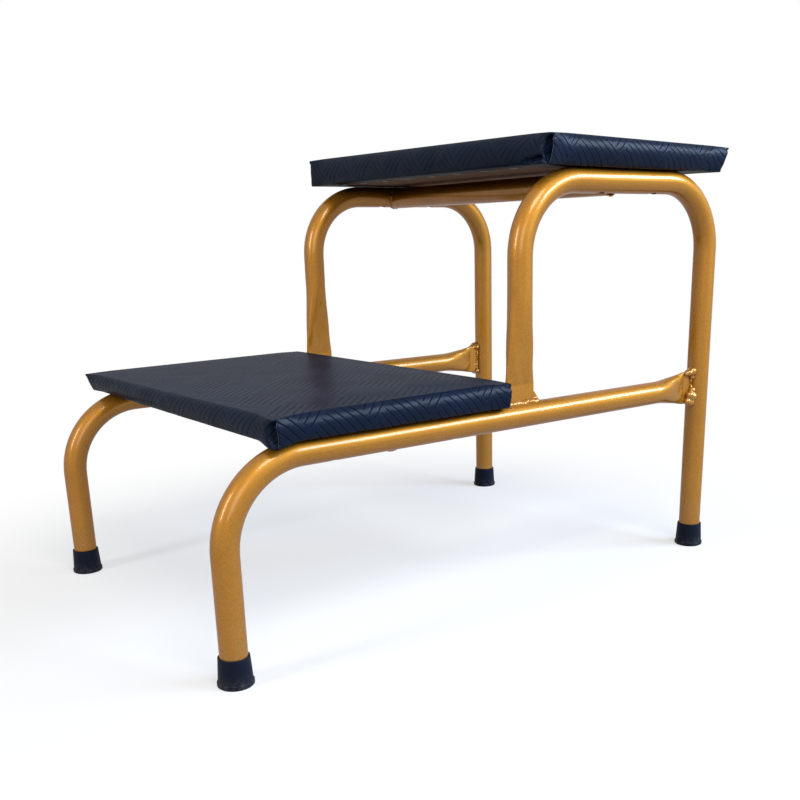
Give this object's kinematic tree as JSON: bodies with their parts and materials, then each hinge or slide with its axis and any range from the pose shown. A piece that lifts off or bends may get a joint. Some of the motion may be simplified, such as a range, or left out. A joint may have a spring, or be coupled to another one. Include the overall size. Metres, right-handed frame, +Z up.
{
  "type": "step stool",
  "caption": "Step stool for an examination couch: bent painted steel tube side frames, padded vinyl treads at a low and a high level, crossbars and rubber-tipped legs.",
  "frame": {"origin": "on the floor, under the middle of the stool", "axes": "+Z up, -Y towards the front with the low step, +X to the right side"},
  "size_m": [0.3818, 0.5736, 0.412],
  "materials": {
    "gold_paint": "glossy metallic",
    "weld_paint": "glossy metallic over weld",
    "vinyl": "embossed satin vinyl",
    "foam": "open-cell foam",
    "board": "bare board",
    "fastener_steel": "zinc plated",
    "tip_rubber": "matte"
  },
  "bodies": {
    "root": {"arch_tube_left": "gold_paint", "arch_tube_right": "gold_paint", "foot_front_left": "tip_rubber", "foot_front_right": "tip_rubber", "foot_rear_left": "tip_rubber", "foot_rear_right": "tip_rubber", "lower_crossbar": "gold_paint", "lower_crossbar_weld_left": "weld_paint", "lower_crossbar_weld_right": "weld_paint", "lower_step_board": "board", "lower_step_cover": "vinyl", "lower_step_foam": "foam", "lower_step_screws": "fastener_steel", "lower_step_staples": "fastener_steel", "post_weld_left": "weld_paint", "post_weld_right": "weld_paint", "rail_end_weld_left": "weld_paint", "rail_end_weld_right": "weld_paint", "rail_tube_left": "gold_paint", "rail_tube_right": "gold_paint", "upper_crossbar": "gold_paint", "upper_crossbar_weld_left": "weld_paint", "upper_crossbar_weld_right": "weld_paint", "upper_step_board": "board", "upper_step_cover": "vinyl", "upper_step_foam": "foam", "upper_step_screws": "fastener_steel", "upper_step_staples": "fastener_steel"}
  },
  "joints": []
}
